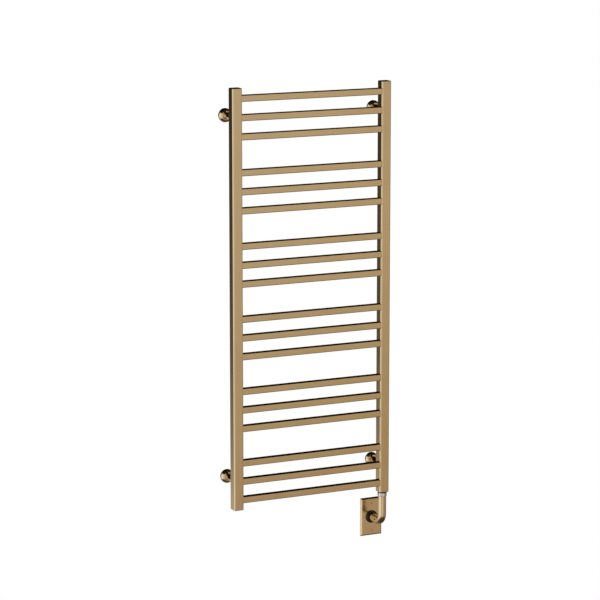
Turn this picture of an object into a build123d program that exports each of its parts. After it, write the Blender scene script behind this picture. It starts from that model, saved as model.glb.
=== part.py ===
from build123d import *
import os

os.makedirs("parts", exist_ok=True)

# Frame axes: X along the rungs, Y into the wall, Z up. The wall plane is Y = 0.
# The origin is the middle of the four wall fixings. A "depth" is a distance in front of the wall.

# Overall sizes
WIDTH = 495.0
HEIGHT = 1200.0
POST_BACK_DEPTH = 57.0

# Posts
POST = 30.0
POST_RADIUS = 4.5
POST_WALL = 1.5
CAP = 3.0
CAP_SPIGOT = 3.0
CAP_EDGE = 2.0

# Rungs
RUNG = 19.0
RUNG_RADIUS = 2.5
RUNG_WALL = 1.2
RUNG_SETBACK = 0.8
RUNG_INSERT = 2.0
RUNGS_IN_GROUP = 3
GROUPS = 6
RUNG_PITCH = 53.5
GROUP_PITCH = 207.0

# Standoffs, wall bases and rosettes
STEM_RADIUS = 10.0
STEM_END_DEPTH = 6.0
SET_SCREW_DEPTH = 25.0
SET_SCREW_RADIUS = 2.0
PEG_RADIUS = 7.0
PEG_END_DEPTH = 30.0
PEG_FIT = 0.08
BASE_RADIUS = 17.0
BASE_THICKNESS = 4.0
FIXING_RADIUS = 2.75
ROSETTE_RADIUS = 20.0
ROSETTE_RIM = 3.5
ROSETTE_DEPTH = 16.0
ROSETTE_FIT = 0.08

# Heating element
THREAD_RADIUS = 10.0
THREAD_FIT = 0.03
BOSS_RADIUS = 12.0
BOSS_LENGTH = 20.0
GASKET = 3.0
COLLAR_FLATS = 25.0
COLLAR_HEIGHT = 10.0
NECK_RADIUS = 9.0
NECK_LENGTH = 17.0
WIRE_BORE_RADIUS = 5.0
LIMITER_RADIUS = 2.9
ROD_RADIUS = 6.0
ROD_TOP = -20.0

# Elbow and lead
TUBE_RADIUS = 12.0
TUBE_WALL = 1.5
BEND_RADIUS = 25.0
LEG_BELOW_POST = 92.0
TUBE_END_DEPTH = 1.0
LEAD_RADIUS = 3.8
CORE_RADIUS = 1.3

# Wall plate
PLATE_WIDTH = 69.85
PLATE_HEIGHT = 114.3
PLATE_DEPTH = 6.0
PLATE_BEVEL = 4.0
PLATE_SHEET = 1.6
PLATE_SCREW_SPACING = 83.3
PLATE_SCREW_RADIUS = 1.75
PLATE_SCREW_HEAD = 3.4
GROMMET_RADIUS = 18.8
GROMMET_NECK = 15.0
GROMMET_PROUD = 4.0
GROMMET_FIT = 0.08

# Vent
VENT_HEIGHT = 560.0
VENT_THREAD = 6.0
VENT_FLATS = 13.0
VENT_SCREW_RADIUS = 2.5

POST_X = (WIDTH - POST) / 2
POST_DEPTH = POST_BACK_DEPTH + POST / 2
FRONT_DEPTH = POST_BACK_DEPTH + POST
RUNG_DEPTH = FRONT_DEPTH - RUNG_SETBACK - RUNG / 2
RUNG_LENGTH = WIDTH - 2 * POST + 2 * RUNG_INSERT
BOTTOM = -HEIGHT / 2
TOP = HEIGHT / 2
RUNG_SPAN = (GROUPS - 1) * GROUP_PITCH + (RUNGS_IN_GROUP - 1) * RUNG_PITCH
RUNG_HEIGHTS = []
for group in range(GROUPS):
    for step in range(RUNGS_IN_GROUP):
        RUNG_HEIGHTS.append(RUNG_SPAN / 2 - group * GROUP_PITCH - step * RUNG_PITCH)
FIXING_Z = RUNG_HEIGHTS[1]
LEG_Z = BOTTOM - LEG_BELOW_POST
COLLAR_TOP = BOTTOM - GASKET
COLLAR_BOTTOM = COLLAR_TOP - COLLAR_HEIGHT
NECK_BOTTOM = COLLAR_BOTTOM - NECK_LENGTH
HEAD_TOP = BOTTOM + BOSS_LENGTH

CORNERS = {
    "upper_left": (-POST_X, FIXING_Z),
    "upper_right": (POST_X, FIXING_Z),
    "lower_left": (-POST_X, -FIXING_Z),
    "lower_right": (POST_X, -FIXING_Z),
}


def elbow_line(start, end_depth):
    """Draws the elbow's centre line, from a height on the post's axis to a depth on the level leg."""
    FilletPolyline(
        (-POST_DEPTH, start),
        (-POST_DEPTH, LEG_Z),
        (-end_depth, LEG_Z),
        radius=BEND_RADIUS,
    )


# Left post, with the openings for the rungs and the vent

with BuildPart() as left_post:
    with BuildSketch(Plane.XY.offset(BOTTOM + CAP)):
        with Locations((-POST_X, -POST_DEPTH)):
            RectangleRounded(POST, POST, POST_RADIUS)
            RectangleRounded(
                POST - 2 * POST_WALL, POST - 2 * POST_WALL, POST_RADIUS - POST_WALL, mode=Mode.SUBTRACT
            )
    extrude(amount=HEIGHT - 2 * CAP)
    with BuildSketch(Plane.YZ.offset(-RUNG_LENGTH / 2)):
        for height in RUNG_HEIGHTS:
            with Locations((-RUNG_DEPTH, height)):
                RectangleRounded(RUNG, RUNG, RUNG_RADIUS)
    extrude(amount=RUNG_INSERT + 1, mode=Mode.SUBTRACT)
    with BuildSketch(Plane.XZ.offset(POST_BACK_DEPTH - 1)):
        with Locations((-POST_X, VENT_HEIGHT)):
            Circle(VENT_THREAD)
    extrude(amount=POST_WALL + 2, mode=Mode.SUBTRACT)
left_post.part.label = "left_post"
export_step(left_post.part, "parts/left_post.step")


# Right post, with the openings for the rungs

with BuildPart() as right_post:
    with BuildSketch(Plane.XY.offset(BOTTOM + CAP)):
        with Locations((POST_X, -POST_DEPTH)):
            RectangleRounded(POST, POST, POST_RADIUS)
            RectangleRounded(
                POST - 2 * POST_WALL, POST - 2 * POST_WALL, POST_RADIUS - POST_WALL, mode=Mode.SUBTRACT
            )
    extrude(amount=HEIGHT - 2 * CAP)
    with BuildSketch(Plane.YZ.offset(RUNG_LENGTH / 2 - RUNG_INSERT - 1)):
        for height in RUNG_HEIGHTS:
            with Locations((-RUNG_DEPTH, height)):
                RectangleRounded(RUNG, RUNG, RUNG_RADIUS)
    extrude(amount=RUNG_INSERT + 1, mode=Mode.SUBTRACT)
right_post.part.label = "right_post"
export_step(right_post.part, "parts/right_post.step")


# Rungs: hollow square tubes whose ends sit in the openings of the posts

for number, height in enumerate(RUNG_HEIGHTS, start=1):
    with BuildPart() as rung:
        with BuildSketch(Plane.YZ.offset(-RUNG_LENGTH / 2)):
            with Locations((-RUNG_DEPTH, height)):
                RectangleRounded(RUNG, RUNG, RUNG_RADIUS)
                RectangleRounded(
                    RUNG - 2 * RUNG_WALL,
                    RUNG - 2 * RUNG_WALL,
                    RUNG_RADIUS - RUNG_WALL,
                    mode=Mode.SUBTRACT,
                )
        extrude(amount=RUNG_LENGTH)
    rung.part.label = f"rung_{number:02d}"
    export_step(rung.part, f"parts/rung_{number:02d}.step")


# End caps: a plate flush with the post and a spigot inside it

for name, x, outer in (
    ("left_top_cap", -POST_X, TOP),
    ("right_top_cap", POST_X, TOP),
    ("left_bottom_cap", -POST_X, BOTTOM),
):
    inward = -1 if outer > 0 else 1
    with BuildPart() as cap:
        with BuildSketch(Plane.XY.offset(outer)):
            with Locations((x, -POST_DEPTH)):
                RectangleRounded(POST, POST, POST_RADIUS)
        extrude(amount=inward * CAP)
        with BuildSketch(Plane.XY.offset(outer + inward * CAP)):
            with Locations((x, -POST_DEPTH)):
                RectangleRounded(
                    POST - 2 * POST_WALL - 0.1, POST - 2 * POST_WALL - 0.1, POST_RADIUS - POST_WALL - 0.05
                )
        extrude(amount=inward * CAP_SPIGOT)
        outer_face = cap.faces().filter_by_position(Axis.Z, outer - 0.01, outer + 0.01)
        fillet(outer_face.edges(), radius=CAP_EDGE)
    cap.part.label = name
    export_step(cap.part, f"parts/{name}.step")

with BuildPart() as right_bottom_cap:
    with BuildSketch(Plane.XY.offset(BOTTOM)):
        with Locations((POST_X, -POST_DEPTH)):
            RectangleRounded(POST, POST, POST_RADIUS)
    extrude(amount=CAP)
    under_face = right_bottom_cap.faces().sort_by(Axis.Z)[0]
    fillet(under_face.edges(), radius=CAP_EDGE)
    with BuildSketch(Plane.XY.offset(BOTTOM)):
        with Locations((POST_X, -POST_DEPTH)):
            Circle(BOSS_RADIUS)
    extrude(amount=CAP, mode=Mode.SUBTRACT)
right_bottom_cap.part.label = "right_bottom_cap"
export_step(right_bottom_cap.part, "parts/right_bottom_cap.step")


# Heating element in the right post

with BuildPart() as threaded_boss:
    with BuildSketch(Plane.XY.offset(BOTTOM)):
        with Locations((POST_X, -POST_DEPTH)):
            Circle(BOSS_RADIUS)
            Circle(THREAD_RADIUS + THREAD_FIT, mode=Mode.SUBTRACT)
    extrude(amount=BOSS_LENGTH)
threaded_boss.part.label = "threaded_boss"
export_step(threaded_boss.part, "parts/threaded_boss.step")

with BuildPart() as element_gasket:
    with BuildSketch(Plane.XY.offset(COLLAR_TOP)):
        with Locations((POST_X, -POST_DEPTH)):
            Circle(COLLAR_FLATS / 2)
            Circle(THREAD_RADIUS + 0.3, mode=Mode.SUBTRACT)
    extrude(amount=GASKET)
element_gasket.part.label = "element_gasket"
export_step(element_gasket.part, "parts/element_gasket.step")

with BuildPart() as element_head:
    with BuildSketch(Plane.XY.offset(COLLAR_BOTTOM)):
        with Locations((POST_X, -POST_DEPTH)):
            RegularPolygon(COLLAR_FLATS / 2, 6, major_radius=False, rotation=30)
    extrude(amount=COLLAR_HEIGHT)
    with BuildSketch(Plane.XY.offset(COLLAR_BOTTOM)):
        with Locations((POST_X, -POST_DEPTH)):
            Circle(COLLAR_FLATS / 2 + 1.2)
    extrude(amount=COLLAR_HEIGHT, mode=Mode.INTERSECT)
    collar_ends = element_head.edges().filter_by(GeomType.LINE).filter_by(Plane.XY)
    chamfer(collar_ends, length=0.6)
    with BuildSketch(Plane.XY.offset(COLLAR_TOP)):
        with Locations((POST_X, -POST_DEPTH)):
            Circle(THREAD_RADIUS)
    extrude(amount=HEAD_TOP - COLLAR_TOP)
    with BuildSketch(Plane.XY.offset(NECK_BOTTOM)):
        with Locations((POST_X, -POST_DEPTH)):
            Circle(NECK_RADIUS)
    extrude(amount=NECK_LENGTH)
    with BuildSketch(Plane.XY.offset(NECK_BOTTOM + 2)):
        with Locations((POST_X, -POST_DEPTH)):
            Circle(NECK_RADIUS + 1)
            Circle(NECK_RADIUS - 0.8, mode=Mode.SUBTRACT)
    extrude(amount=1.0, mode=Mode.SUBTRACT)
    with BuildSketch(Plane.XY.offset(NECK_BOTTOM)):
        with Locations((POST_X, -POST_DEPTH)):
            Circle(WIRE_BORE_RADIUS)
    extrude(amount=NECK_LENGTH + COLLAR_HEIGHT, mode=Mode.SUBTRACT)
    with BuildSketch(Plane.XY.offset(BOTTOM - 4)):
        with Locations((POST_X, -POST_DEPTH)):
            Circle(LIMITER_RADIUS + 0.1)
    extrude(amount=17, mode=Mode.SUBTRACT)
    with BuildSketch(Plane.XY.offset(HEAD_TOP - 8)):
        with Locations((POST_X, -POST_DEPTH)):
            Circle(ROD_RADIUS)
    extrude(amount=8, mode=Mode.SUBTRACT)
element_head.part.label = "element_head"
export_step(element_head.part, "parts/element_head.step")

with BuildPart() as element_rod:
    with BuildSketch(Plane.XY.offset(HEAD_TOP - 8)):
        with Locations((POST_X, -POST_DEPTH)):
            Circle(ROD_RADIUS)
    extrude(amount=ROD_TOP - HEAD_TOP + 8)
    rod_tip = element_rod.faces().sort_by(Axis.Z)[-1]
    fillet(rod_tip.edges(), radius=ROD_RADIUS * 0.8)
element_rod.part.label = "element_rod"
export_step(element_rod.part, "parts/element_rod.step")

with BuildPart() as thermal_limiter:
    with BuildSketch(Plane.XY.offset(BOTTOM - 3)):
        with Locations((POST_X, -POST_DEPTH)):
            Circle(LIMITER_RADIUS)
    extrude(amount=15)
    fillet(thermal_limiter.faces().sort_by(Axis.Z)[0].edges(), radius=1)
thermal_limiter.part.label = "thermal_limiter"
export_step(thermal_limiter.part, "parts/thermal_limiter.step")

with BuildPart() as retaining_ring:
    with BuildSketch(Plane.XY.offset(NECK_BOTTOM + 2)):
        with Locations((POST_X, -POST_DEPTH)):
            Circle(NECK_RADIUS + 0.9)
            Circle(NECK_RADIUS - 0.8, mode=Mode.SUBTRACT)
        with Locations((POST_X, -POST_DEPTH - NECK_RADIUS)):
            Rectangle(3, 4, mode=Mode.SUBTRACT)
    extrude(amount=1.0)
retaining_ring.part.label = "retaining_ring"
export_step(retaining_ring.part, "parts/retaining_ring.step")


# Swivelling elbow

with BuildPart() as elbow:
    with BuildLine(Plane.YZ.offset(POST_X)):
        elbow_line(COLLAR_BOTTOM - 0.3, TUBE_END_DEPTH)
    with BuildSketch(Plane.XY.offset(COLLAR_BOTTOM - 0.3)):
        with Locations((POST_X, -POST_DEPTH)):
            Circle(TUBE_RADIUS)
            Circle(TUBE_RADIUS - TUBE_WALL, mode=Mode.SUBTRACT)
    sweep()
elbow.part.label = "elbow"
export_step(elbow.part, "parts/elbow.step")

with BuildPart() as swivel_bush:
    with BuildSketch(Plane.XY.offset(NECK_BOTTOM + 3.3)):
        with Locations((POST_X, -POST_DEPTH)):
            Circle(TUBE_RADIUS - TUBE_WALL)
            Circle(NECK_RADIUS + 0.05, mode=Mode.SUBTRACT)
    extrude(amount=NECK_LENGTH - 3.9)
swivel_bush.part.label = "swivel_bush"
export_step(swivel_bush.part, "parts/swivel_bush.step")

with BuildPart() as cable_clamp:
    with BuildSketch(Plane.XZ.offset(5)):
        with Locations((POST_X, LEG_Z)):
            Circle(TUBE_RADIUS - TUBE_WALL)
            Circle(LEAD_RADIUS, mode=Mode.SUBTRACT)
    extrude(amount=9)
cable_clamp.part.label = "cable_clamp"
export_step(cable_clamp.part, "parts/cable_clamp.step")


# Supply lead: a sheath along the elbow and three insulated cores at its ends

with BuildPart() as supply_lead:
    with BuildLine(Plane.YZ.offset(POST_X)):
        elbow_line(BOTTOM - 12, 3)
    with BuildSketch(Plane.XY.offset(BOTTOM - 12)):
        with Locations((POST_X, -POST_DEPTH)):
            Circle(LEAD_RADIUS)
    sweep()
supply_lead.part.label = "supply_lead"
export_step(supply_lead.part, "parts/supply_lead.step")

for name, turn in (("live_core", 90), ("neutral_core", 210), ("earth_core", 330)):
    offset = Vector(LEAD_RADIUS - CORE_RADIUS - 0.6, 0, 0).rotate(Axis.Z, turn)
    with BuildPart() as core:
        with BuildSketch(Plane.XZ.offset(0.4)):
            with Locations((POST_X + offset.X, LEG_Z + offset.Y)):
                Circle(CORE_RADIUS)
        extrude(amount=2.6)
        with BuildSketch(Plane.XY.offset(BOTTOM - 12)):
            with Locations((POST_X + offset.X, -POST_DEPTH + offset.Y)):
                Circle(CORE_RADIUS)
        extrude(amount=6)
    core.part.label = name
    export_step(core.part, f"parts/{name}.step")


# Wall plate: a formed sheet with bevelled edges, hollow at the back

with BuildPart() as wall_plate:
    with BuildSketch(Plane.XZ):
        with Locations((POST_X, LEG_Z)):
            RectangleRounded(PLATE_WIDTH, PLATE_HEIGHT, 1.5)
    with BuildSketch(Plane.XZ.offset(PLATE_DEPTH - PLATE_BEVEL)):
        with Locations((POST_X, LEG_Z)):
            RectangleRounded(PLATE_WIDTH, PLATE_HEIGHT, 1.5)
    loft()
    with BuildSketch(Plane.XZ.offset(PLATE_DEPTH - PLATE_BEVEL)):
        with Locations((POST_X, LEG_Z)):
            RectangleRounded(PLATE_WIDTH, PLATE_HEIGHT, 1.5)
    with BuildSketch(Plane.XZ.offset(PLATE_DEPTH)):
        with Locations((POST_X, LEG_Z)):
            RectangleRounded(PLATE_WIDTH - 2 * PLATE_BEVEL, PLATE_HEIGHT - 2 * PLATE_BEVEL, 1.5)
    loft()
    with BuildSketch(Plane.XZ):
        with Locations((POST_X, LEG_Z)):
            RectangleRounded(PLATE_WIDTH - 2 * PLATE_SHEET, PLATE_HEIGHT - 2 * PLATE_SHEET, 1.0)
    with BuildSketch(Plane.XZ.offset(PLATE_DEPTH - PLATE_SHEET)):
        with Locations((POST_X, LEG_Z)):
            RectangleRounded(
                PLATE_WIDTH - 2 * PLATE_SHEET - 2 * PLATE_BEVEL,
                PLATE_HEIGHT - 2 * PLATE_SHEET - 2 * PLATE_BEVEL,
                1.0,
            )
    loft(mode=Mode.SUBTRACT)
    with BuildSketch(Plane.XZ):
        with Locations((POST_X, LEG_Z)):
            Circle(GROMMET_NECK)
        for side in (1, -1):
            with Locations((POST_X, LEG_Z + side * PLATE_SCREW_SPACING / 2)):
                Circle(PLATE_SCREW_RADIUS + 0.15)
    extrude(amount=PLATE_DEPTH + 1, mode=Mode.SUBTRACT)
wall_plate.part.label = "wall_plate"
export_step(wall_plate.part, "parts/wall_plate.step")

with BuildPart() as plate_grommet:
    with BuildSketch(Plane.XZ.offset(PLATE_DEPTH)):
        with Locations((POST_X, LEG_Z)):
            Circle(GROMMET_RADIUS)
    extrude(amount=GROMMET_PROUD)
    fillet(plate_grommet.faces().sort_by(Axis.Y)[0].edges(), radius=2.5)
    with BuildSketch(Plane.XZ.offset(PLATE_DEPTH - PLATE_SHEET)):
        with Locations((POST_X, LEG_Z)):
            Circle(GROMMET_NECK)
    extrude(amount=PLATE_SHEET)
    with BuildSketch(Plane.XZ.offset(PLATE_DEPTH - PLATE_SHEET - 2)):
        with Locations((POST_X, LEG_Z)):
            Circle(GROMMET_NECK + 1.5)
    extrude(amount=2)
    with BuildSketch(Plane.XZ.offset(1)):
        with Locations((POST_X, LEG_Z)):
            Circle(TUBE_RADIUS + GROMMET_FIT)
    extrude(amount=PLATE_DEPTH + GROMMET_PROUD, mode=Mode.SUBTRACT)
plate_grommet.part.label = "plate_grommet"
export_step(plate_grommet.part, "parts/plate_grommet.step")

with BuildPart() as plate_screws:
    for side in (1, -1):
        with BuildSketch(Plane.XZ.offset(0.5)):
            with Locations((POST_X, LEG_Z + side * PLATE_SCREW_SPACING / 2)):
                Circle(PLATE_SCREW_RADIUS)
        extrude(amount=PLATE_DEPTH - 0.5)
        with BuildSketch(Plane.XZ.offset(PLATE_DEPTH)):
            with Locations((POST_X, LEG_Z + side * PLATE_SCREW_SPACING / 2)):
                Circle(PLATE_SCREW_HEAD)
        extrude(amount=1.6)
    fillet(plate_screws.faces().group_by(Axis.Y)[0].edges(), radius=1.2)
    for side in (1, -1):
        with BuildSketch(Plane.XZ.offset(PLATE_DEPTH + 0.8)):
            with Locations((POST_X, LEG_Z + side * PLATE_SCREW_SPACING / 2)):
                Rectangle(2 * PLATE_SCREW_HEAD + 1, 0.9)
        extrude(amount=1, mode=Mode.SUBTRACT)
plate_screws.part.label = "plate_screws"
export_step(plate_screws.part, "parts/plate_screws.step")


# Standoffs, wall bases and rosettes at the four corners

for corner, (x, z) in CORNERS.items():
    with BuildPart() as stem:
        with BuildSketch(Plane.XZ.offset(STEM_END_DEPTH)):
            with Locations((x, z)):
                Circle(STEM_RADIUS)
                Circle(PEG_RADIUS + PEG_FIT, mode=Mode.SUBTRACT)
        extrude(amount=POST_BACK_DEPTH - STEM_END_DEPTH)
        with BuildSketch(Plane.XY.offset(z)):
            with Locations((x, -SET_SCREW_DEPTH)):
                Circle(SET_SCREW_RADIUS)
        extrude(amount=-STEM_RADIUS - 1, mode=Mode.SUBTRACT)
    stem.part.label = f"{corner}_stem"
    export_step(stem.part, f"parts/{corner}_stem.step")

    with BuildPart() as wall_base:
        with BuildSketch(Plane.XZ):
            with Locations((x, z)):
                Circle(BASE_RADIUS)
        extrude(amount=BASE_THICKNESS)
        chamfer(wall_base.faces().sort_by(Axis.Y)[0].edges(), length=0.6)
        with BuildSketch(Plane.XZ.offset(BASE_THICKNESS)):
            with Locations((x, z)):
                Circle(PEG_RADIUS)
        extrude(amount=PEG_END_DEPTH - BASE_THICKNESS)
        chamfer(wall_base.faces().sort_by(Axis.Y)[0].edges(), length=0.6)
        with Locations(Plane.XZ.offset(PEG_END_DEPTH) * Location((x, z, 0))):
            CounterSinkHole(FIXING_RADIUS, 5.0, depth=PEG_END_DEPTH)
    wall_base.part.label = f"{corner}_wall_base"
    export_step(wall_base.part, f"parts/{corner}_wall_base.step")

    with BuildPart() as rosette:
        with BuildSketch(Plane.YZ.offset(x)):
            with BuildLine():
                Polyline(
                    (-ROSETTE_DEPTH, z + 11.2),
                    (-ROSETTE_DEPTH, z + STEM_RADIUS + ROSETTE_FIT),
                    (-9, z + STEM_RADIUS + ROSETTE_FIT),
                    (-9, z + 11.6),
                    (-14, z + 12.2),
                    (-12, z + 15.2),
                    (-6, z + 18.5),
                    (0, z + 18.5),
                    (0, z + ROSETTE_RADIUS),
                    (-ROSETTE_RIM, z + ROSETTE_RADIUS),
                )
                Bezier(
                    (-ROSETTE_RIM, z + ROSETTE_RADIUS),
                    (-10.4, z + ROSETTE_RADIUS),
                    (-ROSETTE_DEPTH, z + 16.1),
                    (-ROSETTE_DEPTH, z + 11.2),
                )
            make_face()
        revolve(axis=Axis((x, 0, z), (0, 1, 0)))
    rosette.part.label = f"{corner}_rosette"
    export_step(rosette.part, f"parts/{corner}_rosette.step")

with BuildPart() as set_screws:
    for x, z in CORNERS.values():
        with BuildSketch(Plane.XY.offset(z - STEM_RADIUS + 0.2)):
            with Locations((x, -SET_SCREW_DEPTH)):
                Circle(SET_SCREW_RADIUS)
        extrude(amount=STEM_RADIUS - PEG_RADIUS - 0.5)
        with BuildSketch(Plane.XY.offset(z - STEM_RADIUS + 0.2)):
            with Locations((x, -SET_SCREW_DEPTH)):
                RegularPolygon(1.0, 6)
        extrude(amount=1.4, mode=Mode.SUBTRACT)
set_screws.part.label = "set_screws"
export_step(set_screws.part, "parts/set_screws.step")


# Vent in the back of the left post

with BuildPart() as vent_boss:
    with BuildSketch(Plane.XZ.offset(POST_BACK_DEPTH + POST_WALL)):
        with Locations((-POST_X, VENT_HEIGHT)):
            Circle(VENT_THREAD + 3)
            Circle(VENT_THREAD, mode=Mode.SUBTRACT)
    extrude(amount=6)
vent_boss.part.label = "vent_boss"
export_step(vent_boss.part, "parts/vent_boss.step")

with BuildPart() as vent_washer:
    with BuildSketch(Plane.XZ.offset(POST_BACK_DEPTH - 1)):
        with Locations((-POST_X, VENT_HEIGHT)):
            Circle(VENT_THREAD + 1.5)
            Circle(VENT_THREAD, mode=Mode.SUBTRACT)
    extrude(amount=1)
vent_washer.part.label = "vent_washer"
export_step(vent_washer.part, "parts/vent_washer.step")

with BuildPart() as vent_body:
    with BuildSketch(Plane.XZ.offset(POST_BACK_DEPTH - 7)):
        with Locations((-POST_X, VENT_HEIGHT)):
            RegularPolygon(VENT_FLATS / 2, 6, major_radius=False)
    extrude(amount=6)
    chamfer(vent_body.faces().sort_by(Axis.Y)[-1].edges(), length=0.6)
    with BuildSketch(Plane.XZ.offset(POST_BACK_DEPTH - 1)):
        with Locations((-POST_X, VENT_HEIGHT)):
            Circle(VENT_THREAD)
    extrude(amount=8)
    with BuildSketch(Plane.XZ.offset(POST_BACK_DEPTH - 7)):
        with Locations((-POST_X, VENT_HEIGHT)):
            Circle(VENT_SCREW_RADIUS + 0.05)
    extrude(amount=11, mode=Mode.SUBTRACT)
vent_body.part.label = "vent_body"
export_step(vent_body.part, "parts/vent_body.step")

with BuildPart() as vent_screw:
    with BuildSketch(Plane.XZ.offset(POST_BACK_DEPTH - 9)):
        with Locations((-POST_X, VENT_HEIGHT)):
            Circle(VENT_SCREW_RADIUS)
    extrude(amount=12.5)
    with BuildSketch(Plane.XZ.offset(POST_BACK_DEPTH - 9)):
        with Locations((-POST_X, VENT_HEIGHT)):
            Rectangle(2 * VENT_SCREW_RADIUS + 1, 0.9)
    extrude(amount=1.2, mode=Mode.SUBTRACT)
vent_screw.part.label = "vent_screw"
export_step(vent_screw.part, "parts/vent_screw.step")
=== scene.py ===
"""Looks of the towel warmer rack: meshes, finishes and studio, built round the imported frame."""

import logging
import math
from dataclasses import dataclass
from enum import Enum
from typing import Callable, Sequence

import bpy
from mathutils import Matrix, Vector


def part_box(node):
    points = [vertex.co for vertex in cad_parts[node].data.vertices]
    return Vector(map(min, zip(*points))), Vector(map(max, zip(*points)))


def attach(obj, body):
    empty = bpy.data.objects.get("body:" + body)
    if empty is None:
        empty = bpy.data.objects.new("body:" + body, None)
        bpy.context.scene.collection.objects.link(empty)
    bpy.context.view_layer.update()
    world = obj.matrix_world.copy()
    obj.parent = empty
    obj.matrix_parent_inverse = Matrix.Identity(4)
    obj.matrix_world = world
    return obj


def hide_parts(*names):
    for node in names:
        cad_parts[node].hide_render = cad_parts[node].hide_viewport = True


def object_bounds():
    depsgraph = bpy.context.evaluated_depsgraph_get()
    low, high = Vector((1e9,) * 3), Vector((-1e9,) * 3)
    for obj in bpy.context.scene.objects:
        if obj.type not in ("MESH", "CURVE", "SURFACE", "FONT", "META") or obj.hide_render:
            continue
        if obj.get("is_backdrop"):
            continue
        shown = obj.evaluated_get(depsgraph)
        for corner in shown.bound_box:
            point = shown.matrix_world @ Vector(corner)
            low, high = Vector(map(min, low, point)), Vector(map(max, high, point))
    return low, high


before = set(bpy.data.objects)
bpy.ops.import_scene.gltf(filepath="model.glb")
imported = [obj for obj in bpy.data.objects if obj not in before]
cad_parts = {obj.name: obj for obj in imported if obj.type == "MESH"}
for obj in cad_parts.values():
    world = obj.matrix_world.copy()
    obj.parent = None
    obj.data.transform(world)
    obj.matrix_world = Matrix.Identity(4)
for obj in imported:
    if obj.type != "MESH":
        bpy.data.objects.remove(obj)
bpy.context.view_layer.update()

Object = bpy.types.Object
Point = tuple[float, float, float]
Colour = tuple[float, float, float]
LOG = logging.getLogger("towel_rack")
MM = 0.001

# Heights nearer than SAME are one height, and an edge longer than APART runs along its axis.
SAME = 1e-6
APART = 1e-5
MERGE_DISTANCE = 0.002 * MM
CUTTER_LENGTH = 50.0 * MM
SOFTEN_ANGLE = math.radians(32)
HEX_TURN = math.radians(30)

# The part of a noise that holds nearly all of its values, and how deep the finest grain is.
NOISE_LOW, NOISE_HIGH = 0.3, 0.7
GRAIN_DEPTH = 0.05 * MM


class Grain(Enum):
    """Which way the finishing lines run, as the noise scale along X, Y and Z."""

    ALONG_X = (4.0, 700.0, 700.0)
    ALONG_Y = (700.0, 4.0, 700.0)
    ALONG_Z = (700.0, 700.0, 4.0)
    EVEN = (900.0, 900.0, 900.0)


class Side(Enum):
    """The two uprights, by the sign of their X."""

    LEFT = -1
    RIGHT = 1


class Turning(Enum):
    """The axis that a turned piece is spun round."""

    Y = (0.0, 1.0, 0.0)
    Z = (0.0, 0.0, 1.0)


class NodeBoard:
    """A node tree with short calls to add and join nodes."""

    def __init__(self, tree: bpy.types.NodeTree) -> None:
        """Empties the tree.

        Args:
            tree: The tree of a material or of the world.
        """
        self.tree = tree
        tree.nodes.clear()

    def add(self, kind: str, **values: object) -> bpy.types.Node:
        """Adds a node and sets its properties.

        Args:
            kind: The node's type name.
            values: Properties of the node, by name.

        Returns:
            The new node.
        """
        node = self.tree.nodes.new(kind)
        for name, value in values.items():
            setattr(node, name, value)
        return node

    def join(self, source: bpy.types.NodeSocket, target: bpy.types.NodeSocket) -> None:
        """Links an output to an input."""
        self.tree.links.new(source, target)

    def math(self, operation: str, a: object, b: object = 0.0) -> bpy.types.NodeSocket:
        """Adds a Math node.

        Args:
            operation: The node's operation.
            a: First value or socket.
            b: Second value or socket.

        Returns:
            The node's output.
        """
        node = self.add("ShaderNodeMath", operation=operation)
        for slot, value in enumerate((a, b)):
            if isinstance(value, bpy.types.NodeSocket):
                self.join(value, node.inputs[slot])
            else:
                node.inputs[slot].default_value = value
        return node.outputs[0]

    def ramp(
        self, source: bpy.types.NodeSocket, stops: Sequence[tuple[float, Colour]], smooth: bool = False
    ) -> bpy.types.NodeSocket:
        """Adds a colour ramp.

        Args:
            source: The socket that drives it.
            stops: Positions from 0 to 1 with their colours.
            smooth: Eases between the stops.

        Returns:
            The ramp's colour output.
        """
        node = self.add("ShaderNodeValToRGB")
        node.color_ramp.interpolation = "EASE" if smooth else "LINEAR"
        elements = node.color_ramp.elements
        while len(elements) > 1:
            elements.remove(elements[-1])
        for index, (position, colour) in enumerate(stops):
            element = elements[0] if index == 0 else elements.new(position)
            element.position = position
            element.color = (*colour, 1.0)
        self.join(source, node.inputs["Fac"])
        return node.outputs["Color"]

    def noise(
        self, scale: Point, size: float = 1.0, detail: float = 3.0, shift: Point = (0.0, 0.0, 0.0)
    ) -> bpy.types.NodeSocket:
        """Adds a noise on the piece's own coordinates.

        Args:
            scale: How fine the noise is along X, Y and Z.
            size: The noise node's own scale.
            detail: How many finer layers it holds.
            shift: Moves the pattern, in scaled units.

        Returns:
            The noise's factor output.
        """
        place = self.add("ShaderNodeTexCoord")
        mapping = self.add("ShaderNodeMapping")
        mapping.inputs["Scale"].default_value = scale
        mapping.inputs["Location"].default_value = shift
        noise = self.add("ShaderNodeTexNoise")
        noise.inputs["Scale"].default_value = size
        noise.inputs["Detail"].default_value = detail
        self.join(place.outputs["Object"], mapping.inputs["Vector"])
        self.join(mapping.outputs["Vector"], noise.inputs["Vector"])
        return noise.outputs["Fac"]

    def spread(self, source: bpy.types.NodeSocket, low: float, high: float) -> bpy.types.NodeSocket:
        """Maps the middle of a noise onto a range.

        Args:
            source: A noise's factor.
            low: The least value.
            high: The greatest value.

        Returns:
            The mapped value.
        """
        node = self.add("ShaderNodeMapRange")
        node.inputs["From Min"].default_value = NOISE_LOW
        node.inputs["From Max"].default_value = NOISE_HIGH
        node.inputs["To Min"].default_value = low
        node.inputs["To Max"].default_value = high
        self.join(source, node.inputs["Value"])
        return node.outputs["Result"]


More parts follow.
